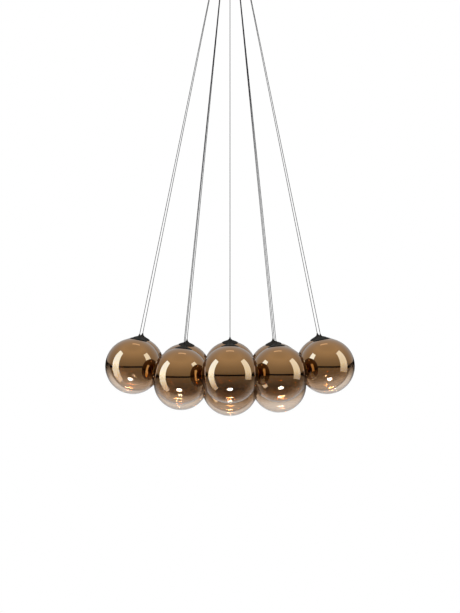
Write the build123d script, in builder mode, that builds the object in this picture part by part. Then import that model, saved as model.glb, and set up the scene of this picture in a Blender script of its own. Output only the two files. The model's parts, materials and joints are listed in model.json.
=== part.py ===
"""Cluster pendant: fourteen mirrored glass globes on straight cords under one ceiling canopy.

Frame: millimetres, +Z up, +X to the right and +Y away from the viewer. The origin is the centre of the ceiling
plate's top face, where it meets the ceiling, so the whole object hangs below z = 0.
"""

from build123d import *
from math import acos, cos, hypot, pi, radians, sin, sqrt, tan
import os

os.makedirs("parts", exist_ok=True)

# ---------------------------------------------------------------- driving dimensions
# globe
globe_diameter = 180.0
glass_wall = 2.0
neck_diameter = 42.0
neck_lip_fillet = 0.6

# cluster: the globes nest like a raft, in columns that run away from the viewer
globe_gap = 0.6               # between neighbours in one column
cord_fan_height = 266.4       # height above the ceiling at which all cord lines would meet
outer_reach = 1580.0          # from that point to the centre of a globe on the rim
inner_reach = 1612.0          # the same for the four globes in the middle, which hang lower
inner_spread = 4.4            # extra distance of the left and right middle globes from the centre

# cap on the globe's neck
cap_diameter = 55.0
cap_wall = 2.8
cap_edge_fillet = 0.8
seat_gap = 0.3                # between the cap and the glass, and between the glass and its clamp
stem_height = 10.2            # above the cap's crown
stem_base_diameter = 13.0
stem_waist_diameter = 5.6     # half-way up
stem_tip_diameter = 3.6
cap_boss_diameter = 30.0      # spigot under the cap, inside the neck
cap_boss_depth = 5.5          # below the cap's own underside, on the axis

# cord
cord_diameter = 2.0
cord_bore_clearance = 0.15
cord_seat_depth = 8.0         # of the cord's end in the stem

# lamp in the globe's neck
lamp_base_diameter = 36.0
lamp_flange_diameter = 39.0   # under the clamp
lamp_flange_thickness = 1.2
clamp_diameter = 54.0
clamp_width = 40.0            # less than the neck, so that it goes in on edge
clamp_thickness = 1.5
clamp_bore_clearance = 0.15
board_diameter = 33.8
board_thickness = 1.6
board_clearance = 0.2         # on the radius, in the lamp base's recess
lens_rim_height = 1.0         # of the lens in the recess, under the board
lens_dome_height = 0.8        # of the lens below the lamp base

# canopy
canopy_diameter = 190.0
canopy_wall = 1.2
canopy_corner_radius = 6.0
wiring_room = 18.8            # between the canopy's floor and the driver, for the grips and the cords' tails
plate_edge_gap = 1.8          # on the radius, between the ceiling plate and the cover's wall
plate_thickness = 2.0
fixing_spacing = 140.0
fixing_hole_diameter = 5.5
cable_hole_diameter = 20.0
cable_hole_offset = 52.0      # from the centre, towards the viewer

# side screws and the tabs that they go into
side_screw_count = 3
first_side_screw_angle = 30.0
side_screw_depth = 13.0       # below the ceiling
screw_diameter = 4.0
screw_clearance = 0.2         # on the radius, in the cover's hole
screw_thread_clearance = 0.05 # on the radius, in the tab's hole
screw_head_diameter = 9.0
screw_head_height = 3.0
screw_head_fillet = 0.5
screw_head_gap = 0.12         # the flat head on the round wall
screw_length = 8.0
tab_width = 16.0
tab_drop = 20.0               # below the ceiling
tab_thickness = 2.0
tab_gap = 0.25                # between a tab's corners and the cover's wall

# cord grips in the canopy's floor
grip_shank_diameter = 10.0
grip_hole_clearance = 0.15    # on the radius
grip_shank_rise = 8.0         # above the canopy's underside
grip_flange_diameter = 13.6
grip_flange_thickness = 2.4
grip_nose_length = 8.0        # below the canopy's underside
grip_mouth_diameter = 11.4
pivot_drop = 4.0              # of the cord's turning point, below the canopy's underside
pivot_clearance = 0.5         # round the cord's ball end
mouth_spare_angle = 3.0       # of the bell mouth, past the widest swing
grip_nut_width = 14.0         # across flats
grip_nut_height = 4.0

# wiring and driver inside the canopy
driver_length = 112.0
driver_width = 42.0
driver_height = 20.0
driver_corner_fillet = 3.0
terminal_length = 32.0
terminal_width = 12.0
terminal_height = 12.0
terminal_centre = 30.0        # from the centre, towards the viewer
terminal_way_count = 3
terminal_way_diameter = 4.0
terminal_way_depth = 6.0
terminal_way_pitch = 9.0
hub_diameter = 16.0
hub_height = 8.0
hub_gap = 0.08                # a flat cord end on the round hub
lower_tail_drop = 5.0         # of the tails, below the driver
upper_tail_drop = 2.0         # of the two that pass over the tails of the middle column
tail_bend_radius = 3.2

# motion: each rim pendant can be swung outwards from its neighbours
swing_limit = 20.0            # degrees

# ---------------------------------------------------------------- derived sizes
globe_radius = globe_diameter / 2
column_pitch = globe_diameter + globe_gap
column_spacing = column_pitch * sqrt(3) / 2
cord_radius = cord_diameter / 2
canopy_height = plate_thickness + driver_height + wiring_room + canopy_wall
canopy_floor = -canopy_height
pivot_z = canopy_floor - pivot_drop

# ---------------------------------------------------------------- where the globes hang
# name: (place to the right, place away from the viewer, reach, trim of the hand-set cord)
half_pitch = column_pitch / 2
near_side = column_spacing + inner_spread
PENDANTS = {
    "far_left_front": (-2 * column_spacing, -half_pitch, outer_reach, -5.0),
    "far_left_back": (-2 * column_spacing, half_pitch, outer_reach, -5.0),
    "left_front": (-column_spacing, -2 * half_pitch, outer_reach, 7.0),
    "left_inner": (-near_side, 0.0, inner_reach, -5.0),
    "left_back": (-column_spacing, 2 * half_pitch, outer_reach, 3.0),
    "centre_front": (0.0, -3 * half_pitch, outer_reach, 3.0),
    "centre_inner_front": (0.0, -half_pitch, inner_reach, 2.0),
    "centre_inner_back": (0.0, half_pitch, inner_reach, 2.0),
    "centre_back": (0.0, 3 * half_pitch, outer_reach, 2.0),
    "right_front": (column_spacing, -2 * half_pitch, outer_reach, 0.0),
    "right_inner": (near_side, 0.0, inner_reach, 3.0),
    "right_back": (column_spacing, 2 * half_pitch, outer_reach, 0.0),
    "far_right_front": (2 * column_spacing, -half_pitch, outer_reach, -5.0),
    "far_right_back": (2 * column_spacing, half_pitch, outer_reach, -5.0),
}
FAN_POINT = Vector(0, 0, cord_fan_height)


def globe_centre(name):
    """The centre of a globe: on a sphere round the fan point, so that its cord hangs along its own line."""
    across, away, reach, trim = PENDANTS[name]
    length = reach + trim
    drop = sqrt(length**2 - across**2 - away**2)
    return Vector(across, away, cord_fan_height - drop)


def cord_direction(name):
    """Unit vector up the cord."""
    return (FAN_POINT - globe_centre(name)).normalized()


def pivot_point(name):
    """Where the cord leaves its grip: the centre of its ball end and of its swing."""
    centre = globe_centre(name)
    up = cord_direction(name)
    return centre + up * ((pivot_z - centre.Z) / up.Z)


def pendant_plane(name):
    """A plane through the cord's line: its origin is the globe's centre and its Y runs up the cord."""
    up = cord_direction(name)
    across = Vector(0, 1, 0).cross(up).normalized()
    return Plane(origin=globe_centre(name), x_dir=across, z_dir=across.cross(up))


def pendant_axis(name):
    return Axis(globe_centre(name), cord_direction(name))


def sphere_height(radius, out):
    """Height, over the globe's centre, of a sphere of this radius at this distance out from the cord's line."""
    return sqrt(radius**2 - out**2)


steepest_lean = max(cord_direction(name).get_angle(Vector(0, 0, 1)) for name in PENDANTS)
mouth_angle = steepest_lean + swing_limit + mouth_spare_angle

# ---------------------------------------------------------------- shared radii and heights, on the cord's line
glass_inner_radius = globe_radius - glass_wall
neck_radius = neck_diameter / 2
cap_under_radius = globe_radius + seat_gap
cap_top_radius = cap_under_radius + cap_wall
cap_boss_face = cap_under_radius - cap_boss_depth
stem_top = cap_top_radius + stem_height
cord_end = stem_top - cord_seat_depth
clamp_top = sphere_height(glass_inner_radius, clamp_diameter / 2) - seat_gap
clamp_foot = clamp_top - clamp_thickness
lamp_foot = clamp_foot - lamp_flange_thickness
board_foot = lamp_foot + lens_rim_height
board_top = board_foot + board_thickness


# ---------------------------------------------------------------- pieces of one pendant
def make_globe(name):
    """A blown globe with a round neck hole at the top."""
    outer_edge = (neck_radius, sphere_height(globe_radius, neck_radius))
    inner_edge = (neck_radius, sphere_height(glass_inner_radius, neck_radius))
    with BuildPart() as globe:
        with BuildSketch(pendant_plane(name)):
            with BuildLine():
                ThreePointArc((0, -globe_radius), (globe_radius, 0), outer_edge)
                Line(outer_edge, inner_edge)
                ThreePointArc(inner_edge, (glass_inner_radius, 0), (0, -glass_inner_radius))
                Line((0, -glass_inner_radius), (0, -globe_radius))
            make_face()
        revolve(axis=pendant_axis(name))
        lip = globe.edges().filter_by(GeomType.CIRCLE)
        fillet(lip.sort_by(Edge.length)[:2], neck_lip_fillet)
    return globe.part


def make_cap(name):
    """A thin dome over the neck, with a concave stem for the cord and a spigot that centres it in the neck."""
    rim = cap_diameter / 2
    rim_under = (rim, sphere_height(cap_under_radius, rim))
    rim_top = (rim, sphere_height(cap_top_radius, rim))
    base = stem_base_diameter / 2
    stem_foot = (base, sphere_height(cap_top_radius, base))
    tip = (stem_tip_diameter / 2, stem_top)
    waist = (stem_waist_diameter / 2, stem_top - stem_height / 2)
    boss = cap_boss_diameter / 2
    boss_root = (boss, sphere_height(cap_under_radius, boss))
    bore = cord_radius + cord_bore_clearance
    with BuildPart() as cap:
        with BuildSketch(pendant_plane(name)):
            with BuildLine():
                Line((0, cap_boss_face), (boss, cap_boss_face))
                Line((boss, cap_boss_face), boss_root)
                under_middle = (boss + rim) / 2
                ThreePointArc(boss_root, (under_middle, sphere_height(cap_under_radius, under_middle)), rim_under)
                Line(rim_under, rim_top)
                top_middle = (base + rim) / 2
                ThreePointArc(rim_top, (top_middle, sphere_height(cap_top_radius, top_middle)), stem_foot)
                ThreePointArc(stem_foot, waist, tip)
                Line(tip, (bore, stem_top))
                Line((bore, stem_top), (bore, cord_end))
                Line((bore, cord_end), (0, cord_end))
                Line((0, cord_end), (0, cap_boss_face))
            make_face()
        revolve(axis=pendant_axis(name))
        rim_edge = cap.edges().filter_by(GeomType.CIRCLE).sort_by(Edge.length)[-2:]
        top_rim = rim_edge.sort_by(pendant_axis(name))[-1]
        fillet(top_rim, cap_edge_fillet)
    return cap.part


def make_light(name):
    """In the neck: the lamp base under the cap, the clamp that holds the glass, the LED board and its lens."""
    base = lamp_base_diameter / 2
    flange = lamp_flange_diameter / 2
    recess = board_diameter / 2 + board_clearance
    with BuildPart() as lamp_base:
        with BuildSketch(pendant_plane(name)):
            with BuildLine():
                Polyline(
                    (0, cap_boss_face),
                    (base, cap_boss_face),
                    (base, clamp_foot),
                    (flange, clamp_foot),
                    (flange, lamp_foot),
                    (recess, lamp_foot),
                    (recess, board_top),
                    (0, board_top),
                    close=True,
                )
            make_face()
        revolve(axis=pendant_axis(name))

    side = pendant_plane(name)
    clamp_plane = Plane(origin=side.origin + side.y_dir * clamp_top, x_dir=side.x_dir, z_dir=-side.y_dir)
    with BuildPart() as clamp:
        with BuildSketch(clamp_plane):
            Circle(clamp_diameter / 2)
            Rectangle(clamp_diameter, clamp_width, mode=Mode.INTERSECT)
            Circle(base + clamp_bore_clearance, mode=Mode.SUBTRACT)
        extrude(amount=clamp_thickness)

    board_plane = Plane(origin=side.origin + side.y_dir * board_top, x_dir=side.x_dir, z_dir=-side.y_dir)
    with BuildPart() as board:
        with BuildSketch(board_plane):
            Circle(board_diameter / 2)
        extrude(amount=board_thickness)

    lens_radius = board_diameter / 2
    lens_bottom = lamp_foot - lens_dome_height
    dome_radius = (lens_radius**2 + lens_dome_height**2) / (2 * lens_dome_height)
    dome_middle = (lens_radius / 2, lens_bottom + dome_radius - sphere_height(dome_radius, lens_radius / 2))
    with BuildPart() as lens:
        with BuildSketch(side):
            with BuildLine():
                Line((0, board_foot), (lens_radius, board_foot))
                Line((lens_radius, board_foot), (lens_radius, lamp_foot))
                ThreePointArc((lens_radius, lamp_foot), dome_middle, (0, lens_bottom))
                Line((0, lens_bottom), (0, board_foot))
            make_face()
        revolve(axis=pendant_axis(name))
    return Compound(children=[lamp_base.part, clamp.part, board.part, lens.part])


def make_cord(name):
    """A taut cord: one straight run with a ball end in its grip and a flat end on the floor of the stem's bore."""
    up = cord_direction(name)
    foot = globe_centre(name) + up * cord_end
    pivot = pivot_point(name)
    length = (pivot - foot).length
    with BuildPart() as cord:
        with BuildSketch(Plane(origin=foot, z_dir=up)):
            Circle(cord_radius)
        extrude(amount=length)
        with Locations(pivot):
            Sphere(cord_radius)
    return cord.part, length


# ---------------------------------------------------------------- canopy
grip_places = [(pivot_point(name).X, pivot_point(name).Y) for name in PENDANTS]
side_screw_angles = [first_side_screw_angle + 360.0 / side_screw_count * turn for turn in range(side_screw_count)]
canopy_radius = canopy_diameter / 2
cover_inner_radius = canopy_radius - canopy_wall
# a tab's flat face stands off the round wall, so that its corners clear it
tab_face = sqrt((cover_inner_radius - tab_gap) ** 2 - (tab_width / 2) ** 2)
head_seat = canopy_radius + screw_head_gap


def spoke(angle, out, height):
    """A plane that looks out along a spoke of the canopy: its Z points away from the centre."""
    direction = Vector(cos(radians(angle)), sin(radians(angle)), 0)
    return Plane(origin=direction * out + Vector(0, 0, height), x_dir=Vector(0, 0, 1), z_dir=direction)


with BuildPart() as canopy_cover:
    with BuildSketch(Plane.XY.offset(canopy_floor)):
        Circle(canopy_radius)
    extrude(amount=canopy_height)
    fillet(canopy_cover.faces().sort_by(Axis.Z)[0].edges(), canopy_corner_radius)
    offset(amount=-canopy_wall, openings=canopy_cover.faces().sort_by(Axis.Z)[-1])
    with BuildSketch(Plane.XY.offset(canopy_floor)):
        with Locations(*grip_places):
            Circle(grip_shank_diameter / 2 + grip_hole_clearance)
    extrude(amount=canopy_wall, mode=Mode.SUBTRACT)
    for angle in side_screw_angles:
        with BuildSketch(spoke(angle, tab_face, -side_screw_depth)):
            Circle(screw_diameter / 2 + screw_clearance)
        extrude(amount=head_seat - tab_face, mode=Mode.SUBTRACT)

with BuildPart() as ceiling_plate:
    with BuildSketch(Plane.XY):
        Circle(cover_inner_radius - plate_edge_gap)
    extrude(amount=-plate_thickness)
    for angle in side_screw_angles:
        tab_middle = -tab_drop / 2
        with BuildSketch(spoke(angle, tab_face, tab_middle)):
            Rectangle(tab_drop, tab_width)
        extrude(amount=-tab_thickness)
        with BuildSketch(spoke(angle, tab_face, -side_screw_depth)):
            Circle(screw_diameter / 2 + screw_thread_clearance)
        extrude(amount=-tab_thickness, mode=Mode.SUBTRACT)
    with BuildSketch(Plane.XY):
        with GridLocations(fixing_spacing, 0, 2, 1):
            Circle(fixing_hole_diameter / 2)
        with Locations((0, -cable_hole_offset)):
            Circle(cable_hole_diameter / 2)
    extrude(amount=-plate_thickness, mode=Mode.SUBTRACT)

side_screws = []
for angle in side_screw_angles:
    with BuildPart() as side_screw:
        with BuildSketch(spoke(angle, head_seat, -side_screw_depth)):
            Circle(screw_head_diameter / 2)
        extrude(amount=screw_head_height)
        fillet(side_screw.edges().filter_by(GeomType.CIRCLE).sort_by(Edge.length)[-2:], screw_head_fillet)
        with BuildSketch(spoke(angle, head_seat, -side_screw_depth)):
            Circle(screw_diameter / 2)
        extrude(amount=-screw_length)
    side_screws.append(side_screw.part)


def make_grip(place):
    """A cord grip: a bell mouth and a ball seat under the canopy's floor, a flange, and a shank up through it."""
    x, y = place
    shank = grip_shank_diameter / 2
    bore = cord_radius + pivot_clearance
    mouth = bore + (grip_nose_length - pivot_drop) * tan(radians(mouth_angle))
    flange = grip_flange_diameter / 2
    tail_bore = cord_radius + cord_bore_clearance
    seat_top = sqrt(bore**2 - tail_bore**2) - pivot_drop
    seat_middle_angle = acos(tail_bore / bore) / 2
    seat_middle = (bore * cos(seat_middle_angle), bore * sin(seat_middle_angle) - pivot_drop)
    with BuildPart() as grip:
        with BuildSketch(Plane(origin=(x, y, canopy_floor), x_dir=(1, 0, 0), z_dir=(0, -1, 0))):
            with BuildLine():
                Polyline(
                    (bore, -pivot_drop),
                    (mouth, -grip_nose_length),
                    (grip_mouth_diameter / 2, -grip_nose_length),
                    (flange, -grip_flange_thickness),
                    (flange, 0),
                    (shank, 0),
                    (shank, grip_shank_rise),
                    (tail_bore, grip_shank_rise),
                    (tail_bore, seat_top),
                )
                ThreePointArc((tail_bore, seat_top), seat_middle, (bore, -pivot_drop))
            make_face()
        revolve(axis=Axis((x, y, 0), (0, 0, 1)))
    return grip.part


def make_grip_nut(place):
    """The hexagonal nut on a grip's shank, on the canopy's inner floor."""
    x, y = place
    with BuildPart() as nut:
        with BuildSketch(Plane(origin=(x, y, canopy_floor + canopy_wall))):
            RegularPolygon(grip_nut_width / 2, 6, major_radius=False)
            Circle(grip_shank_diameter / 2 + screw_thread_clearance, mode=Mode.SUBTRACT)
        extrude(amount=grip_nut_height)
    return nut.part


# ---------------------------------------------------------------- driver, terminals, hub and the cords' tails
driver_foot = -plate_thickness - driver_height

with BuildPart() as driver:
    with BuildSketch(Plane.XY.offset(-plate_thickness)):
        Rectangle(driver_length, driver_width)
    extrude(amount=-driver_height)
    fillet(driver.edges().filter_by(Axis.Z), driver_corner_fillet)

with BuildPart() as terminal_block:
    with BuildSketch(Plane.XY.offset(-plate_thickness)):
        with Locations((0, -terminal_centre)):
            Rectangle(terminal_length, terminal_width)
    extrude(amount=-terminal_height)
    with BuildSketch(Plane.XY.offset(-plate_thickness - terminal_height)):
        with Locations((0, -terminal_centre)):
            with GridLocations(terminal_way_pitch, 0, terminal_way_count, 1):
                Circle(terminal_way_diameter / 2)
    extrude(amount=terminal_way_depth, mode=Mode.SUBTRACT)

with BuildPart() as wiring_hub:
    with BuildSketch(Plane.XY.offset(driver_foot)):
        Circle(hub_diameter / 2)
    extrude(amount=-hub_height)


def make_tail(name):
    """A cord's fixed end: up out of its grip, over in one bend and straight to the hub."""
    place = pivot_point(name)
    out = hypot(place.X, place.Y)
    inward = Vector(-place.X / out, -place.Y / out, 0)
    crosses_another = PENDANTS[name][0] == 0 and abs(PENDANTS[name][1]) > half_pitch
    level = driver_foot - (upper_tail_drop if crosses_another else lower_tail_drop)
    foot = Vector(place.X, place.Y, pivot_z + cord_radius + pivot_clearance)
    corner = Vector(place.X, place.Y, level)
    end = Vector(0, 0, level) - inward * (hub_diameter / 2 + hub_gap)
    with BuildPart() as tail:
        with BuildLine() as route:
            FilletPolyline(foot, corner, end, radius=tail_bend_radius)
        with BuildSketch(Plane(origin=foot, z_dir=(0, 0, 1))):
            Circle(cord_radius)
        sweep(path=route.line)
    return tail.part


# ---------------------------------------------------------------- write the nodes
def write(node, part):
    part.label = node
    export_step(part, f"parts/{node}.step")


for name in PENDANTS:
    write(f"globe_{name}", make_globe(name))
    write(f"cap_{name}", make_cap(name))
    write(f"light_{name}", make_light(name))
    cord, cord_length = make_cord(name)
    write(f"cord_{name}", cord)
    print(f"cord_{name}: {cord_length:.1f} mm, volume against section x length",
          round(cord.volume / (pi * cord_radius**2 * cord_length), 4))

canopy_cover.part.label = "canopy_cover"
export_step(canopy_cover.part, "parts/canopy_cover.step")

write("ceiling_plate", Compound(children=[ceiling_plate.part] + side_screws))
grips = [make_grip(place) for place in grip_places]
nuts = [make_grip_nut(place) for place in grip_places]
write("cord_grips", Compound(children=grips + nuts))
tails = [make_tail(name) for name in PENDANTS]
write("driver_unit", Compound(children=[driver.part, terminal_block.part, wiring_hub.part] + tails))

for name in PENDANTS:
    centre = globe_centre(name)
    pivot = pivot_point(name)
    lean = cord_direction(name).get_angle(Vector(0, 0, 1))
    print(f"{name}: centre {centre.X:.1f} {centre.Y:.1f} {centre.Z:.1f}, pivot {pivot.X:.2f} {pivot.Y:.2f}, lean {lean:.2f}")
print("steepest lean", round(steepest_lean, 2), "bell mouth", round(mouth_angle, 2))
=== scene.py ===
"""Cluster pendant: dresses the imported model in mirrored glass, lamps, caps, cords and canopy finishes.

Metres, +Z up, +X to the right and +Y away from the viewer. The origin is where the ceiling plate meets the ceiling.
"""

import json
import math

import bpy
from mathutils import Matrix, Vector

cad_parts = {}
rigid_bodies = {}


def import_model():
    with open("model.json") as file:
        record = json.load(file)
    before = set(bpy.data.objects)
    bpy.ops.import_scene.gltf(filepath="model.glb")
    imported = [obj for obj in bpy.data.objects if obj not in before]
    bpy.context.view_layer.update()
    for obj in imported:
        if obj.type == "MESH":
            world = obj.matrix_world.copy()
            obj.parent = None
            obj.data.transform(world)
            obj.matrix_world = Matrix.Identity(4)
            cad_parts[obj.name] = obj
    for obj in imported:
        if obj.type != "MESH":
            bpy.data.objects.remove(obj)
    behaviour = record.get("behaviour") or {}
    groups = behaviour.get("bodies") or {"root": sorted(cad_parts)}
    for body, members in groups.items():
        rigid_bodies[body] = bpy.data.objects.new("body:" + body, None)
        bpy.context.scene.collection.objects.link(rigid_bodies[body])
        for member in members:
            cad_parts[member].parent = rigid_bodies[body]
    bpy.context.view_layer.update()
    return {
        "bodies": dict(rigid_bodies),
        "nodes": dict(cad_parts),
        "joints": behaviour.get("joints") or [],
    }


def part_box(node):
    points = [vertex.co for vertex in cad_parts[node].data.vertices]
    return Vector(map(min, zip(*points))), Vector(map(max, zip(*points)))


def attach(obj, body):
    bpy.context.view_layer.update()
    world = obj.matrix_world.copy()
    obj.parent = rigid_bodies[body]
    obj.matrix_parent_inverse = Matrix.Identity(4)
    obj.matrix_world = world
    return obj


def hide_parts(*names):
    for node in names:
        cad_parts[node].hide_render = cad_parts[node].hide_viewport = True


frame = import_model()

bl_info = {
    "name": "Cluster Pendant",
    "version": (1, 0, 0),
    "blender": (4, 5, 0),
    "location": "3D View > Sidebar > Pendant",
    "description": "Glass, lamps, caps, cords, canopy finishes and studio of a cluster pendant",
    "category": "Object",
}

MM = 0.001


# ---------------------------------------------------------------- where the pendants hang, read from the frame
PENDANTS = [body.removeprefix("pendant_") for body in frame["bodies"] if body.startswith("pendant_")]
FIRST_LOW, FIRST_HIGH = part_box(f"globe_{PENDANTS[0]}")
GLOBE_RADIUS = round((FIRST_HIGH.x - FIRST_LOW.x) / 2, 3)


def pivot_of(name):
    """Where the cord leaves its grip: the point that the pendant's joint turns about."""
    joint = next(joint for joint in frame["joints"] if joint["child"] == f"pendant_{name}")
    return Vector(joint["pos_m"])


def centre_of(name):
    """The globe's centre: its box is cut only at the neck, on top."""
    low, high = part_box(f"globe_{name}")
    return Vector(((low.x + high.x) / 2, (low.y + high.y) / 2, low.z + GLOBE_RADIUS))


def hang_matrix(name):
    """Lays a piece that was modelled about the origin, with +Z up its cord, round the globe's centre."""
    centre = centre_of(name)
    up = (pivot_of(name) - centre).normalized()
    across = Vector((0, 1, 0)).cross(up).normalized()
    return Matrix.Translation(centre) @ Matrix((across, up.cross(across), up)).transposed().to_4x4()


def sphere_height(radius, out):
    """Height of a sphere over its centre, at this distance out from its axis."""
    return math.sqrt(radius**2 - out**2)


def require_nodes(nodes):
    """Stops an operator with an error where the frame lacks a node that it works on."""
    missing = [node for node in nodes if node not in frame["nodes"]]
    if missing:
        raise RuntimeError(f"The frame has no {', '.join(missing)}.")


def require_pendants(stem):
    """Stops an operator with an error where a pendant lacks its node of this stem."""
    require_nodes([f"{stem}_{name}" for name in PENDANTS])


# ---------------------------------------------------------------- settings
class GlobeSettings(bpy.types.PropertyGroup):
    """Sizes and coat of a globe"""

    wall: bpy.props.FloatProperty(name="Wall", description="Thickness of the glass", default=0.002, unit="LENGTH")
    neck_radius: bpy.props.FloatProperty(
        name="Neck radius", description="Radius of the hole in the top of the globe", default=0.021, unit="LENGTH")
    lip: bpy.props.FloatProperty(
        name="Lip", description="Rounding of the edges of the neck", default=0.0006, unit="LENGTH")
    segments: bpy.props.IntProperty(name="Segments", description="Facets round the globe", default=128)
    rings: bpy.props.IntProperty(name="Rings", description="Facets from pole to pole", default=72)
    mirror_colour: bpy.props.FloatVectorProperty(
        name="Mirror colour", description="Colour that the bronze coat reflects", subtype="COLOR",
        default=(0.44, 0.216, 0.06))
    back_colour: bpy.props.FloatVectorProperty(
        name="Back colour", description="Paler colour that the coat reflects when seen from inside, through the glass",
        subtype="COLOR", default=(0.69, 0.44, 0.19))
    thin_back_colour: bpy.props.FloatVectorProperty(
        name="Thin back colour", description="Colour that the coat reflects inside, where it fades out",
        subtype="COLOR", default=(0.10, 0.07, 0.04))


class LampSettings(bpy.types.PropertyGroup):
    """Sizes and light of the lamp in a globe's neck"""

    base_top: bpy.props.FloatProperty(
        name="Base top", description="Height of the lamp base's top over the globe's centre", default=0.0848,
        unit="LENGTH")
    base_radius: bpy.props.FloatProperty(
        name="Base radius", description="Radius of the lamp base in the clamp", default=0.018, unit="LENGTH")
    flange_radius: bpy.props.FloatProperty(
        name="Flange radius", description="Radius of the flange that carries the clamp", default=0.0195, unit="LENGTH")
    flange: bpy.props.FloatProperty(name="Flange", description="Thickness of the flange", default=0.0012, unit="LENGTH")
    clamp_radius: bpy.props.FloatProperty(
        name="Clamp radius", description="Half the length of the clamp", default=0.027, unit="LENGTH")
    clamp_half_width: bpy.props.FloatProperty(
        name="Clamp half width", description="Half the width of the clamp", default=0.020, unit="LENGTH")
    clamp: bpy.props.FloatProperty(name="Clamp", description="Thickness of the clamp", default=0.0015, unit="LENGTH")
    board_radius: bpy.props.FloatProperty(
        name="Board radius", description="Radius of the LED board and its lens", default=0.0169, unit="LENGTH")
    board: bpy.props.FloatProperty(
        name="Board", description="Thickness of the LED board", default=0.0016, unit="LENGTH")
    clearance: bpy.props.FloatProperty(
        name="Clearance", description="Gap round the board in its recess", default=0.0002, unit="LENGTH")
    lens_rim: bpy.props.FloatProperty(
        name="Lens rim", description="Height of the lens's straight rim", default=0.001, unit="LENGTH")
    lens_dome: bpy.props.FloatProperty(
        name="Lens dome", description="Height of the lens's dome", default=0.0008, unit="LENGTH")
    glow: bpy.props.FloatProperty(name="Glow", description="Strength of the lit lens", default=140.0)
    glow_colour: bpy.props.FloatVectorProperty(
        name="Glow colour", description="Colour of the lit lens", subtype="COLOR", default=(0.68, 0.86, 1.0))


class CapSettings(bpy.types.PropertyGroup):
    """Sizes and paint of a cap"""

    radius: bpy.props.FloatProperty(name="Radius", description="Radius of a cap's rim", default=0.0275, unit="LENGTH")
    seat_gap: bpy.props.FloatProperty(
        name="Seat gap", description="Gap between the rim and the glass", default=0.0003, unit="LENGTH")
    rim: bpy.props.FloatProperty(name="Rim", description="Height of the rim's edge", default=0.0013, unit="LENGTH")
    shoulder_radius: bpy.props.FloatProperty(
        name="Shoulder radius", description="Radius that the crown's slope bends towards first", default=0.016,
        unit="LENGTH")
    waist_radius: bpy.props.FloatProperty(
        name="Waist radius", description="Radius that the slope bends towards where it turns up into the stem",
        default=0.0025, unit="LENGTH")
    waist_height: bpy.props.FloatProperty(
        name="Waist height", description="Height over the globe's centre that the slope bends towards", default=0.0945,
        unit="LENGTH")
    tip_radius: bpy.props.FloatProperty(
        name="Tip radius", description="Radius of the stem where the cord comes out", default=0.0022, unit="LENGTH")
    tip_height: bpy.props.FloatProperty(
        name="Tip height", description="Height of the stem's tip over the globe's centre", default=0.1056,
        unit="LENGTH")
    bore_radius: bpy.props.FloatProperty(
        name="Bore radius", description="Radius of the hole for the cord", default=0.0011, unit="LENGTH")
    boss_radius: bpy.props.FloatProperty(
        name="Boss radius", description="Radius of the boss in the globe's neck", default=0.015, unit="LENGTH")
    boss_face: bpy.props.FloatProperty(
        name="Boss face", description="Height of the boss's lower face over the globe's centre", default=0.0848,
        unit="LENGTH")
    colour: bpy.props.FloatVectorProperty(
        name="Colour", description="Satin paint of the caps and the canopy", subtype="COLOR",
        default=(0.014, 0.012, 0.009))


class CordSettings(bpy.types.PropertyGroup):
    """Size and colour of a cord"""

    radius: bpy.props.FloatProperty(name="Radius", description="Radius of a cord", default=0.001, unit="LENGTH")
    foot: bpy.props.FloatProperty(
        name="Foot", description="Height of the cord's end over the globe's centre", default=0.0953, unit="LENGTH")
    colour: bpy.props.FloatVectorProperty(
        name="Colour", description="Colour of the cords", subtype="COLOR", default=(0.012, 0.011, 0.011))


class StudioSettings(bpy.types.PropertyGroup):
    """The camera and the floor"""

    camera_place: bpy.props.FloatVectorProperty(
        name="Camera", description="Where the camera stands", subtype="TRANSLATION", default=(0.0, -4.86, -1.082))
    lens: bpy.props.FloatProperty(name="Lens", description="Focal length in millimetres", default=86.74)
    floor_height: bpy.props.FloatProperty(
        name="Floor", description="Height of the floor below the ceiling", default=-6.0, unit="LENGTH")


# ---------------------------------------------------------------- modelling helpers
EDGE = 0.25 * MM  # what is taken off the edges of turned pieces
SHARP_ANGLE = math.radians(50)  # edges sharper than this are bevelled
SMOOTH_ANGLE = math.radians(35)  # edges flatter than this are shaded smooth
WELD_DISTANCE = 1e-6  # closer vertices become one
TURNED_SEGMENTS = 64  # facets round a small turned piece


def select_none():
    """Deselects everything."""
    bpy.ops.object.select_all(action="DESELECT")


def make_active(piece):
    """Selects this piece alone and makes it the active one."""
    select_none()
    piece.select_set(True)
    bpy.context.view_layer.objects.active = piece


def lathe(name, rings, segments=TURNED_SEGMENTS):
    """Turns a shape ring by ring: each (radius, height) is extruded from the one before. Open ends are filled."""
    select_none()
    radius, height = rings[0]
    bpy.ops.mesh.primitive_circle_add(vertices=segments, radius=radius, fill_type="NOTHING", location=(0, 0, 0))
    piece = bpy.context.object
    piece.name = name
    bpy.ops.object.mode_set(mode="EDIT")
    bpy.ops.mesh.select_all(action="SELECT")
    bpy.ops.transform.translate(value=(0, 0, height))
    for next_radius, next_height in rings[1:]:
        bpy.ops.mesh.extrude_edges_move(TRANSFORM_OT_translate={"value": (0, 0, next_height - height)})
        scale = next_radius / radius
        bpy.ops.transform.resize(value=(scale, scale, 1))
        radius, height = next_radius, next_height
    bpy.ops.mesh.select_all(action="SELECT")
    bpy.ops.mesh.remove_doubles(threshold=WELD_DISTANCE)
    bpy.ops.mesh.select_mode(type="EDGE")
    bpy.ops.mesh.select_all(action="DESELECT")
    bpy.ops.mesh.select_non_manifold()
    bpy.ops.mesh.edge_face_add()
    bpy.ops.mesh.select_mode(type="VERT")
    bpy.ops.mesh.select_all(action="SELECT")
    bpy.ops.mesh.normals_make_consistent(inside=False)
    bpy.ops.object.mode_set(mode="OBJECT")
    return piece


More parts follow.
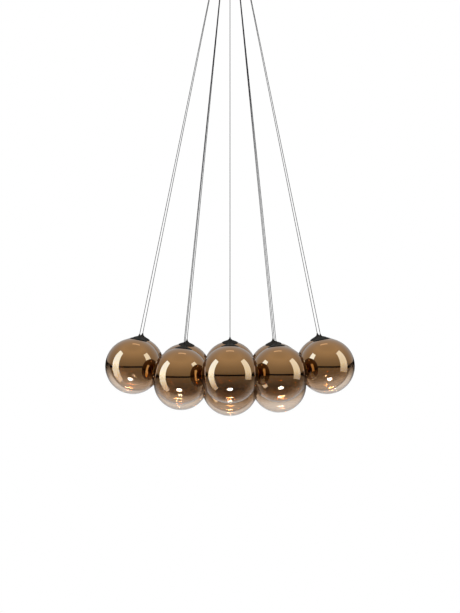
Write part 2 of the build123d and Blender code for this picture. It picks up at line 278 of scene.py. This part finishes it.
def apply_modifier(piece, kind, **values):
    """Adds a modifier, sets it and applies it."""
    make_active(piece)
    modifier = piece.modifiers.new(kind.lower(), kind)
    for key, value in values.items():
        setattr(modifier, key, value)
    bpy.ops.object.modifier_apply(modifier=modifier.name)


def bevel(piece, width, segments):
    """Rounds the sharp edges."""
    apply_modifier(piece, "BEVEL", width=width, segments=segments, limit_method="ANGLE", angle_limit=SHARP_ANGLE)


def smooth(piece):
    """Shades the flatter edges smooth."""
    make_active(piece)
    bpy.ops.object.shade_smooth_by_angle(angle=SMOOTH_ANGLE)


def write_attribute(piece, name, measure):
    """Stores a measure of each vertex's place, which the piece's material reads."""
    attribute = piece.data.attributes.new(name, "FLOAT", "POINT")
    for number, vertex in enumerate(piece.data.vertices):
        attribute.data[number].value = measure(vertex.co)


def hang_copies(master, stem, node_stem):
    """Gives each pendant its own copy of a piece modelled about the origin, then removes the master."""
    for name in PENDANTS:
        piece = bpy.data.objects.new(f"{stem}_{name}", master.data.copy())
        bpy.context.scene.collection.objects.link(piece)
        piece.data.transform(hang_matrix(name))
        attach(piece, f"pendant_{name}")
        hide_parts(f"{node_stem}_{name}")
    bpy.data.objects.remove(master)


# ---------------------------------------------------------------- node helpers
def feed(tree, node, inputs):
    """Gives a node's inputs, by name or number, plain values or links them to other nodes' output sockets."""
    for key, value in inputs.items():
        if isinstance(value, bpy.types.NodeSocket):
            tree.links.new(value, node.inputs[key])
        else:
            node.inputs[key].default_value = value


def add_node(tree, kind, inputs=None, **settings):
    """A new shader node: settings are its own, inputs are fed."""
    made = tree.nodes.new(f"ShaderNode{kind}")
    for key, value in settings.items():
        setattr(made, key, value)
    feed(tree, made, inputs or {})
    return made


def maths(tree, operation, first, second, clamp=False):
    """A Math node on sockets or plain numbers. Returns its output socket."""
    return add_node(tree, "Math", {0: first, 1: second}, operation=operation, use_clamp=clamp).outputs[0]


def unit_share(tree, value):
    """Turns a value between -1 and 1 into a share between 0 and 1. Returns its output socket."""
    return maths(tree, "MULTIPLY", maths(tree, "ADD", value, 1.0), 0.5)


def ramp(tree, factor, stops):
    """A colour ramp with (place, grey or colour) stops. Returns its output socket."""
    made = add_node(tree, "ValToRGB", {0: factor})
    elements = made.color_ramp.elements
    while len(elements) > 1:
        elements.remove(elements[-1])
    for number, (place, colour) in enumerate(stops):
        stop = elements[0] if number == 0 else elements.new(place)
        stop.position = place
        shade = (colour, colour, colour) if isinstance(colour, (int, float)) else tuple(colour)
        stop.color = (*shade, 1.0)
    return made.outputs[0]


def mix_shaders(tree, share, first, second):
    """Mixes two shader nodes, by the share of the second one. Returns the mixing node."""
    return add_node(tree, "MixShader", {0: share, 1: first.outputs[0], 2: second.outputs[0]})


def new_material(name):
    """A node material. Returns it with its tree and its Principled shader."""
    material = bpy.data.materials.new(name)
    material.use_nodes = True
    tree = material.node_tree
    return material, tree, tree.nodes["Principled BSDF"]


def grain_group():
    """Fine grain of paint, moulded plastic or rolled metal: a height for the bump and an uneven roughness."""
    if "surface grain" in bpy.data.node_groups:
        return bpy.data.node_groups["surface grain"]
    group = bpy.data.node_groups.new("surface grain", "ShaderNodeTree")
    defaults = {"Grain Scale": 900.0, "Cloud Scale": 30.0, "Roughness": 0.4, "Unevenness": 0.1}
    for label, default in defaults.items():
        group.interface.new_socket(label, in_out="INPUT", socket_type="NodeSocketFloat").default_value = default
    for label in ("Height", "Roughness", "Cloud"):
        group.interface.new_socket(label, in_out="OUTPUT", socket_type="NodeSocketFloat")
    given = group.nodes.new("NodeGroupInput").outputs
    place = add_node(group, "TexCoord").outputs["Object"]
    grain, cloud = (
        add_node(group, "TexNoise", {"Vector": place, "Scale": given[scale], "Detail": detail}).outputs["Fac"]
        for scale, detail in (("Grain Scale", 3.0), ("Cloud Scale", 2.0)))
    shift = maths(group, "MULTIPLY", maths(group, "SUBTRACT", cloud, 0.5), given["Unevenness"])
    rough = maths(group, "ADD", shift, given["Roughness"], clamp=True)
    feed(group, group.nodes.new("NodeGroupOutput"), {"Height": grain, "Roughness": rough, "Cloud": cloud})
    return group


def place_grain(tree, **values):
    """Places the grain group in a material, with values for its inputs. Returns the group's node."""
    inputs = {key.replace("_", " ").title(): value for key, value in values.items()}
    return add_node(tree, "Group", inputs, node_tree=grain_group())


def add_grain(tree, shader, bump, distance, **values):
    """Feeds a shader's roughness and relief from the grain group. Returns the group's node."""
    grain = place_grain(tree, **values)
    relief = add_node(tree, "Bump", {"Strength": bump, "Distance": distance, "Height": grain.outputs["Height"]})
    feed(tree, shader, {"Roughness": grain.outputs["Roughness"], "Normal": relief.outputs["Normal"]})
    return grain


def drifting_colour(tree, grain, colour, spread):
    """A colour that drifts a little lighter and darker with the grain group's cloud. Returns its output socket."""
    darker = [part * (1 - spread) for part in colour]
    lighter = [min(1.0, part * (1 + spread)) for part in colour]
    return ramp(tree, grain.outputs["Cloud"], [(0.3, darker), (0.7, lighter)])


# ---------------------------------------------------------------- materials
GLASS_REFLECTANCE = 0.04  # share of the light that glass reflects when seen straight on

# What a globe is like from its foot, at 0, over its equator, at 0.5, to its top, at 1.
COAT_COVER = [
    (0.0, 0.14), (0.05, 0.12), (0.125, 0.12), (0.2, 0.18), (0.25, 0.31), (0.3, 0.42), (0.35, 0.51), (0.4, 0.63),
    (0.45, 0.84), (0.475, 0.955), (0.5, 0.994), (0.6, 0.997), (0.85, 1.0)]
SMOKY_TINT = [(0.0, (0.96, 0.90, 0.84)), (0.25, (0.96, 0.85, 0.74)), (0.4, (0.9, 0.72, 0.56))]

# How bright the lit lens is, from its middle, at 0, to its rim, at 1.
LENS_GLOW = [(0.6, 1.0), (0.85, 0.3), (1.0, 0.1)]


def grazing(tree):
    """Share of light that glass reflects towards the edge of a round piece, from either side of its wall."""
    facing = add_node(tree, "LayerWeight", {"Blend": 0.5}).outputs["Facing"]
    edge = maths(tree, "MULTIPLY", maths(tree, "POWER", facing, 5.0), 1 - GLASS_REFLECTANCE)
    return maths(tree, "ADD", edge, GLASS_REFLECTANCE, clamp=True)


def height_share(tree):
    """Where a point of a globe lies from its foot, at 0, to its top, at 1. Returns its output socket."""
    return unit_share(tree, add_node(tree, "Attribute", attribute_name="globe_height").outputs["Fac"])


def mirrored_glass(s):
    """Bronze mirror on the glass's outside: opaque on top, fading out below the equator to clear glass."""
    material, tree, shader = new_material("mirrored_bronze")
    share = height_share(tree)
    bare = maths(tree, "SUBTRACT", 1.0, ramp(tree, share, COAT_COVER))
    through = maths(tree, "MULTIPLY", bare, maths(tree, "SUBTRACT", 1.0, grazing(tree)))
    colour = add_node(tree, "Mix", {
        "Factor": add_node(tree, "NewGeometry").outputs["Backfacing"],
        "A": drifting_colour(tree, place_grain(tree, cloud_scale=9.0), s.mirror_colour, spread=0.04),
        "B": ramp(tree, share, [(0.32, s.thin_back_colour), (0.44, s.back_colour)]),
    }, data_type="RGBA")
    feed(tree, shader, {
        "Base Color": colour.outputs["Result"], "Metallic": 1.0, "Roughness": 0.0,
        "Coat Weight": 1.0, "Coat Roughness": 0.0, "Coat IOR": 1.5,
        "Alpha": maths(tree, "SUBTRACT", 1.0, through)})
    return material


def inner_glass():
    """The glass's inside: clear but for what its polished surface reflects."""
    material, tree, shader = new_material("inner_glass")
    feed(tree, shader, {"Base Color": (0.9, 0.9, 0.9, 1.0), "Metallic": 1.0, "Roughness": 0.0})
    clear = add_node(tree, "BsdfTransparent", {"Color": ramp(tree, height_share(tree), SMOKY_TINT)})
    mix = mix_shaders(tree, grazing(tree), clear, shader)
    feed(tree, tree.nodes["Material Output"], {0: mix.outputs[0]})
    return material


def grained(name, colour, spread, shader_inputs, **grain_values):
    """A material whose colour, roughness and relief vary finely."""
    material, tree, shader = new_material(name)
    grain = add_grain(tree, shader, **grain_values)
    feed(tree, shader, {**shader_inputs, "Base Color": drifting_colour(tree, grain, colour, spread)})
    return material


def satin_black(s):
    """Satin black paint of the caps and the canopy."""
    return grained(
        "satin_black", s.colour, spread=0.12, shader_inputs={"Specular IOR Level": 0.12},
        bump=0.12, distance=0.2 * MM, grain_scale=2600.0, cloud_scale=60.0, roughness=0.6, unevenness=0.12)


def metal(name, colour, roughness, grain_scale):
    """Bare metal with a fine uneven grain."""
    return grained(
        name, colour, spread=0.08, shader_inputs={"Metallic": 1.0},
        bump=0.15, distance=0.1 * MM, grain_scale=grain_scale, cloud_scale=90.0, roughness=roughness, unevenness=0.2)


def moulded_plastic(name, colour, roughness, specular=0.5):
    """Moulded plastic with a fine matte grain."""
    return grained(
        name, colour, spread=0.06, shader_inputs={"Specular IOR Level": specular},
        bump=0.15, distance=0.2 * MM, grain_scale=3200.0, cloud_scale=70.0, roughness=roughness, unevenness=0.1)


def lit_lens(s):
    """The lit lens: brightest in the middle."""
    material, tree, shader = new_material("lit_lens")
    out = add_node(tree, "Attribute", attribute_name="lens_radius").outputs["Fac"]
    glow_stops = [(place, [part * share for part in s.glow_colour]) for place, share in LENS_GLOW]
    add_grain(tree, shader, bump=0.1, distance=0.1 * MM, grain_scale=2000.0, cloud_scale=100.0, roughness=0.4,
              unevenness=0.1)
    feed(tree, shader, {
        "Base Color": (0.8, 0.8, 0.78, 1.0), "Emission Color": ramp(tree, out, glow_stops),
        "Emission Strength": s.glow})
    return material


# ---------------------------------------------------------------- pieces
class PENDANT_OT_globes(bpy.types.Operator):
    """Model the mirrored glass globe once and hang a copy from each cord"""

    bl_idname = "pendant.globes"
    bl_label = "Glass Globes"

    def execute(self, context):
        require_pendants("globe")
        s = context.scene.pendant_globe
        select_none()
        bpy.ops.mesh.primitive_uv_sphere_add(
            segments=s.segments, ring_count=s.rings, radius=GLOBE_RADIUS, location=(0, 0, 0))
        globe = context.object
        bpy.ops.object.mode_set(mode="EDIT")
        bpy.ops.mesh.select_all(action="SELECT")
        neck_height = sphere_height(GLOBE_RADIUS, s.neck_radius)
        bpy.ops.mesh.bisect(plane_co=(0, 0, neck_height), plane_no=(0, 0, 1), clear_outer=True)
        bpy.ops.mesh.select_all(action="SELECT")
        bpy.ops.mesh.normals_make_consistent(inside=False)
        bpy.ops.object.mode_set(mode="OBJECT")
        globe.data.materials.append(mirrored_glass(s))
        globe.data.materials.append(inner_glass())
        apply_modifier(globe, "SOLIDIFY", thickness=s.wall, offset=-1.0, use_even_offset=True,
                       use_quality_normals=True, material_offset=1, material_offset_rim=1)
        bevel(globe, s.lip, segments=3)
        write_attribute(globe, "globe_height", lambda place: place.z / GLOBE_RADIUS)
        smooth(globe)
        hang_copies(globe, "glass", "globe")
        return {"FINISHED"}


class PENDANT_OT_lamps(bpy.types.Operator):
    """Model the lamp base, clamp, LED board and lens in the neck of each globe"""

    bl_idname = "pendant.lamps"
    bl_label = "Lamps"

    def execute(self, context):
        require_pendants("light")
        s = context.scene.pendant_lamp
        glass_gap, clamp_play, clamp_rounding, wire_hole = 0.3 * MM, 0.15 * MM, 0.2 * MM, 4 * MM
        clamp_segments, dome_steps = 96, 8
        clamp_top = sphere_height(GLOBE_RADIUS - context.scene.pendant_globe.wall, s.clamp_radius) - glass_gap
        clamp_foot = clamp_top - s.clamp
        lamp_foot = clamp_foot - s.flange
        board_foot = lamp_foot + s.lens_rim
        board_top = board_foot + s.board
        recess = s.board_radius + s.clearance

        base = lathe("base", [
            (wire_hole, s.base_top), (s.base_radius - EDGE, s.base_top), (s.base_radius, s.base_top - EDGE),
            (s.base_radius, clamp_foot), (s.flange_radius - EDGE, clamp_foot), (s.flange_radius, clamp_foot - EDGE),
            (s.flange_radius, lamp_foot + EDGE), (s.flange_radius - EDGE, lamp_foot), (recess + EDGE, lamp_foot),
            (recess, lamp_foot + EDGE), (recess, board_top), (wire_hole, board_top)])
        base.data.materials.append(metal(
            "turned_aluminium", (0.78, 0.78, 0.79), roughness=0.3, grain_scale=1800.0))
        smooth(base)
        hang_copies(base, "lamp_base", "light")

        bore = s.base_radius + clamp_play
        clamp = lathe("clamp", [
            (bore, clamp_foot), (s.clamp_radius, clamp_foot), (s.clamp_radius, clamp_top), (bore, clamp_top),
            (bore, clamp_foot)], clamp_segments)
        make_active(clamp)
        bpy.ops.object.mode_set(mode="EDIT")
        for side in (-1, 1):
            bpy.ops.mesh.select_all(action="SELECT")
            bpy.ops.mesh.bisect(plane_co=(0, side * s.clamp_half_width, 0), plane_no=(0, side, 0), clear_outer=True,
                                use_fill=True)
        bpy.ops.object.mode_set(mode="OBJECT")
        bevel(clamp, clamp_rounding, segments=2)
        clamp.data.materials.append(metal(
            "spring_steel", (0.56, 0.55, 0.54), roughness=0.35, grain_scale=2400.0))
        smooth(clamp)
        hang_copies(clamp, "clamp", "light")

        board = lathe("board", [
            (wire_hole, board_top), (s.board_radius, board_top), (s.board_radius, board_foot),
            (wire_hole, board_foot)])
        board.data.materials.append(moulded_plastic("white_board", (0.8, 0.8, 0.77), roughness=0.5))
        smooth(board)
        hang_copies(board, "led_board", "light")

        dome_radius = (s.board_radius**2 + s.lens_dome**2) / (2 * s.lens_dome)
        dome_centre = lamp_foot - s.lens_dome + dome_radius
        rings = [(wire_hole, board_foot), (s.board_radius, board_foot)]
        for step in range(dome_steps):
            out = s.board_radius * math.cos(math.pi / 2 * step / dome_steps)
            rings.append((out, dome_centre - sphere_height(dome_radius, out)))
        lens = lathe("lens", rings)
        lens.data.materials.append(lit_lens(s))
        write_attribute(lens, "lens_radius", lambda place: math.hypot(place.x, place.y) / s.board_radius)
        smooth(lens)
        hang_copies(lens, "lens", "light")
        return {"FINISHED"}


def cubic_point(bends, share):
    """A point of the cubic curve that starts at the first of four bends and ends at the last."""
    rest = 1 - share
    shares = (rest**3, 3 * share * rest**2, 3 * share**2 * rest, share**3)
    return tuple(sum(part * bend[axis] for part, bend in zip(shares, bends)) for axis in (0, 1))


class PENDANT_OT_caps(bpy.types.Operator):
    """Model the cap once, with its boss in the neck and its hollow slope up to the cord, and hang the copies"""

    bl_idname = "pendant.caps"
    bl_label = "Caps"

    def execute(self, context):
        require_pendants("cap")
        s = context.scene.pendant_cap
        slope_steps = 14
        seat = GLOBE_RADIUS + s.seat_gap
        rim_foot = sphere_height(seat, s.radius - EDGE)
        under_radius = 0.75 * s.radius
        bends = ((s.radius, rim_foot + s.rim), (s.shoulder_radius, s.waist_height), (s.waist_radius, s.waist_height),
                 (s.tip_radius, s.tip_height - EDGE))
        rings = [
            (s.boss_radius - EDGE, s.boss_face), (s.boss_radius, s.boss_face + EDGE),
            (s.boss_radius, sphere_height(seat, s.boss_radius) + EDGE),
            (under_radius, sphere_height(seat, under_radius) + EDGE),
            (s.radius - EDGE, rim_foot), (s.radius, rim_foot + EDGE)]
        rings += [cubic_point(bends, step / slope_steps) for step in range(slope_steps + 1)]
        rings += [(s.tip_radius - EDGE, s.tip_height), (s.bore_radius, s.tip_height),
                  (s.bore_radius, context.scene.pendant_cord.foot)]
        cap = lathe("cap", rings)
        cap.data.materials.append(satin_black(s))
        smooth(cap)
        hang_copies(cap, "cap_shell", "cap")
        return {"FINISHED"}


class PENDANT_OT_cords(bpy.types.Operator):
    """Stretch a thin cord from each grip to its globe's cap"""

    bl_idname = "pendant.cords"
    bl_label = "Cords"

    def execute(self, context):
        require_pendants("cord")
        s = context.scene.pendant_cord
        sheath = moulded_plastic("cord_sheath_black", s.colour, roughness=0.6, specular=0.1)
        for name in PENDANTS:
            exit_point = pivot_of(name)
            foot = hang_matrix(name) @ Vector((0, 0, s.foot))
            line = bpy.data.curves.new(f"cord_line_{name}", "CURVE")
            line.dimensions = "3D"
            line.bevel_depth = s.radius
            line.bevel_resolution = 4
            line.use_fill_caps = True
            spline = line.splines.new("NURBS")
            points = [exit_point, exit_point.lerp(foot, 0.5), foot]
            spline.points.add(len(points) - 1)
            for point, place in zip(spline.points, points):
                point.co = (*place, 1.0)
            spline.order_u = 3
            spline.use_endpoint_u = True
            line.materials.append(sheath)
            cord = bpy.data.objects.new(f"taut_cord_{name}", line)
            context.scene.collection.objects.link(cord)
            cord.visible_glossy = False
            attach(cord, f"pendant_{name}")
            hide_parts(f"cord_{name}")
        return {"FINISHED"}


class PENDANT_OT_canopy(bpy.types.Operator):
    """Finish the canopy, its plate, the cord grips and the driver"""

    bl_idname = "pendant.canopy"
    bl_label = "Canopy"

    def execute(self, context):
        finishes = {
            "canopy_cover": satin_black(context.scene.pendant_cap),
            "ceiling_plate": metal("zinc_plate", (0.62, 0.62, 0.6), roughness=0.38, grain_scale=1500.0),
            "cord_grips": moulded_plastic("grip_black", (0.03, 0.03, 0.03), roughness=0.45),
            "driver_unit": moulded_plastic("driver_white", (0.82, 0.82, 0.8), roughness=0.5),
        }
        require_nodes(finishes)
        for node, finish in finishes.items():
            piece = frame["nodes"][node]
            piece.material_slots[0].material = finish
            piece.visible_glossy = False
        return {"FINISHED"}


# ---------------------------------------------------------------- studio
CLUSTER_HEIGHT = -1.293  # of the globes' middle
FLOOR_SIZE = 60.0
VIEW_END = 100.0  # how far the camera sees
CLEAR_BOUNCES = 32  # walls of glass that a ray may pass

TURN = (-0.1, 0.6)  # how far back a direction points where the studio's back begins to show, and where it's all of it
AGAIN_SHARE = 0.3  # how bright the studio is where it's reflected a second time
THROUGH_SHARE = 0.4  # how bright a card is through three walls of smoky glass

# How bright reflections show the studio, from straight below, at 0, over the horizon, at 0.5, to straight above, at 1.
FRONT_STOPS = [
    (0.0, 0.16), (0.115, 0.22), (0.215, 0.28), (0.33, 0.31), (0.46, 0.29), (0.463, 0.01), (0.514, 0.01),
    (0.517, 0.30), (0.75, 0.465), (0.935, 0.69), (1.0, 0.62)]
BACK_STOPS = [
    (0.0, 0.3), (0.1, 0.7), (0.3, 0.85), (0.37, 0.40), (0.443, 0.18), (0.451, 0.01), (0.54, 0.01), (0.55, 0.42),
    (0.8, 0.52), (1.0, 0.62)]

CARDS = {
    "left_card": {
        "place": (-1.985, -0.645, CLUSTER_HEIGHT), "size": (1.05, 4.4), "normal": (1, 0.1, 0), "strength": 7.0,
        "glow_stops": [
            (0.2, (0.40, 0.49, 0.64)), (0.38, (0.41, 0.60, 0.94)), (0.52, (0.34, 0.50, 0.82)),
            (0.66, (0.29, 0.47, 0.88))]},
    "right_card": {
        "place": (1.95, -0.70, -0.41), "size": (1.10, 2.84), "normal": (-1, 0.2, 0), "strength": 7.0,
        "glow_stops": [(0.0, (0.20, 0.25, 0.34)), (0.35, (0.23, 0.32, 0.48)), (0.7, (0.25, 0.36, 0.58))]},
    "overhead_card": {
        "place": (0, 0.62, 1.2), "size": (0.86, 0.28), "normal": (0, -0.15, -1), "strength": 1.35,
        "glow_stops": [(0.0, 1.0)]},
}
LAMP_SIZE = 1.6
LAMPS = {
    "left_lamp": {"place": (-2.5, -2.0, 0.2), "power": 60.0},
    "right_lamp": {"place": (2.5, -2.0, 0.2), "power": 45.0},
}


def set_camera(s):
    """Makes the scene's camera, which looks level along +Y."""
    data = bpy.data.cameras.new("camera")
    data.lens = s.lens
    data.clip_end = VIEW_END
    camera = bpy.data.objects.new("camera", data)
    camera.location = s.camera_place
    camera.rotation_euler = (math.pi / 2, 0, 0)
    bpy.context.scene.collection.objects.link(camera)
    bpy.context.scene.camera = camera


def studio_world():
    """White for the camera and, in reflections, a grey studio that is dark at the horizon and brighter overhead."""
    world = bpy.data.worlds.new("studio")
    bpy.context.scene.world = world
    world.use_nodes = True
    tree = world.node_tree
    tree.nodes.clear()
    ray = add_node(tree, "LightPath").outputs
    direction = add_node(tree, "SeparateXYZ", {0: add_node(tree, "TexCoord").outputs["Generated"]}).outputs
    share = unit_share(tree, direction["Z"])
    turn = add_node(tree, "MapRange", {"Value": direction["Y"], "From Min": TURN[0], "From Max": TURN[1]},
                    interpolation_type="SMOOTHSTEP")
    blend = add_node(tree, "Mix", {
        "Factor": turn.outputs["Result"], "A": ramp(tree, share, FRONT_STOPS), "B": ramp(tree, share, BACK_STOPS),
    }, data_type="RGBA")
    again = add_node(tree, "MapRange", {
        "Value": ray["Glossy Depth"], "From Min": 1.0, "From Max": 2.0, "To Min": 1.0,
        "To Max": AGAIN_SHARE})
    soft = add_node(tree, "Background", {"Color": (0.75, 0.75, 0.75, 1.0), "Strength": 1.0})
    reflected = add_node(tree, "Background", {"Color": blend.outputs["Result"], "Strength": again.outputs["Result"]})
    white = add_node(tree, "Background", {"Color": (1.0, 1.0, 1.0, 1.0), "Strength": 1.0})
    unseen = mix_shaders(tree, ray["Is Glossy Ray"], soft, reflected)
    seen = maths(tree, "MAXIMUM", ray["Is Camera Ray"], ray["Is Transmission Ray"])
    add_node(tree, "OutputWorld", {0: mix_shaders(tree, seen, unseen, white).outputs[0]})


def pale_floor(s):
    """A floor far below that is white for the camera. Reflections don't show it."""
    select_none()
    bpy.ops.mesh.primitive_plane_add(size=FLOOR_SIZE, location=(0, 0, 0))
    floor = bpy.context.object
    floor.name = "floor"
    floor.data.transform(Matrix.Translation((0, 0, s.floor_height)))
    material, tree, shader = new_material("pale_floor")
    feed(tree, shader, {"Base Color": (0.9, 0.9, 0.9, 1.0)})
    white = add_node(tree, "Emission", {"Strength": 1.0})
    mix = mix_shaders(tree, add_node(tree, "LightPath").outputs["Is Camera Ray"], shader, white)
    feed(tree, tree.nodes["Material Output"], {0: mix.outputs[0]})
    floor.data.materials.append(material)
    floor.visible_glossy = False


def studio_card(name, place, size, normal, strength, glow_stops):
    """A bright card that only reflections see. Its place is its middle's, and its size is its width and height.

    Its glow_stops go from its foot, at 0, to its top, at 1. Through more than one wall of smoky glass it is dimmer.
    """
    select_none()
    bpy.ops.mesh.primitive_plane_add(size=1.0, location=(0, 0, 0))
    card = bpy.context.object
    card.name = name
    facing = Vector(normal).to_track_quat("Z", "Y").to_matrix().to_4x4()
    card.data.transform(Matrix.Diagonal((*size, 1.0, 1.0)))
    card.data.transform(Matrix.Translation(place) @ facing)
    material, tree, _ = new_material(f"{name}_glow")
    tree.nodes.clear()
    height = add_node(tree, "SeparateXYZ", {0: add_node(tree, "TexCoord").outputs["Object"]}).outputs["Z"]
    rise = add_node(tree, "MapRange", {
        "Value": height, "From Min": place[2] - size[1] / 2, "From Max": place[2] + size[1] / 2,
        "To Min": 0.0, "To Max": 1.0})
    smoky = add_node(tree, "MapRange", {
        "Value": add_node(tree, "LightPath").outputs["Transparent Depth"], "From Min": 1.0, "From Max": 3.0,
        "To Min": strength, "To Max": strength * THROUGH_SHARE})
    glow = add_node(tree, "Emission", {
        "Color": ramp(tree, rise.outputs["Result"], glow_stops), "Strength": smoky.outputs["Result"]})
    add_node(tree, "OutputMaterial", {0: glow.outputs[0]})
    card.data.materials.append(material)
    card.visible_camera = card.visible_diffuse = card.visible_transmission = card.visible_shadow = False


def soft_lamp(name, place, power):
    """A soft studio lamp that points at the globes. Reflections don't show it."""
    data = bpy.data.lights.new(name, "AREA")
    data.shape = "DISK"
    data.size = LAMP_SIZE
    data.energy = power
    lamp = bpy.data.objects.new(name, data)
    lamp.location = place
    lamp.rotation_euler = (Vector((0, 0, CLUSTER_HEIGHT)) - Vector(place)).to_track_quat("-Z", "Y").to_euler()
    lamp.visible_glossy = False
    bpy.context.scene.collection.objects.link(lamp)


class PENDANT_OT_stage(bpy.types.Operator):
    """Set the camera, the pale floor, the soft lamps and the cards that the glass reflects"""

    bl_idname = "pendant.stage"
    bl_label = "Stage"

    def execute(self, context):
        s = context.scene.pendant_studio
        context.scene.view_settings.view_transform = "Standard"
        context.scene.cycles.transparent_max_bounces = CLEAR_BOUNCES
        context.scene.cycles.sample_clamp_indirect = 0.0
        set_camera(s)
        studio_world()
        pale_floor(s)
        for name, card in CARDS.items():
            studio_card(name, **card)
        for name, lamp in LAMPS.items():
            soft_lamp(name, **lamp)
        return {"FINISHED"}


class PENDANT_PT_panel(bpy.types.Panel):
    """Lists the operators, in the order that main calls them"""

    bl_label = "Cluster Pendant"
    bl_idname = "PENDANT_PT_panel"
    bl_space_type = "VIEW_3D"
    bl_region_type = "UI"
    bl_category = "Pendant"

    def draw(self, context):
        for operator in OPERATORS:
            self.layout.operator(operator.bl_idname)


SETTINGS = {
    "pendant_globe": GlobeSettings,
    "pendant_lamp": LampSettings,
    "pendant_cap": CapSettings,
    "pendant_cord": CordSettings,
    "pendant_studio": StudioSettings,
}
OPERATORS = (
    PENDANT_OT_stage, PENDANT_OT_cords, PENDANT_OT_globes, PENDANT_OT_lamps, PENDANT_OT_caps, PENDANT_OT_canopy)


def register():
    for name, group in SETTINGS.items():
        bpy.utils.register_class(group)
        setattr(bpy.types.Scene, name, bpy.props.PointerProperty(type=group))
    for operator in OPERATORS:
        bpy.utils.register_class(operator)
    bpy.utils.register_class(PENDANT_PT_panel)


def unregister():
    bpy.utils.unregister_class(PENDANT_PT_panel)
    for operator in reversed(OPERATORS):
        bpy.utils.unregister_class(operator)
    for name, group in SETTINGS.items():
        delattr(bpy.types.Scene, name)
        bpy.utils.unregister_class(group)


def main():
    register()
    bpy.ops.pendant.stage()
    bpy.ops.pendant.cords()
    bpy.ops.pendant.globes()
    bpy.ops.pendant.lamps()
    bpy.ops.pendant.caps()
    bpy.ops.pendant.canopy()


if __name__ == "__main__":
    main()
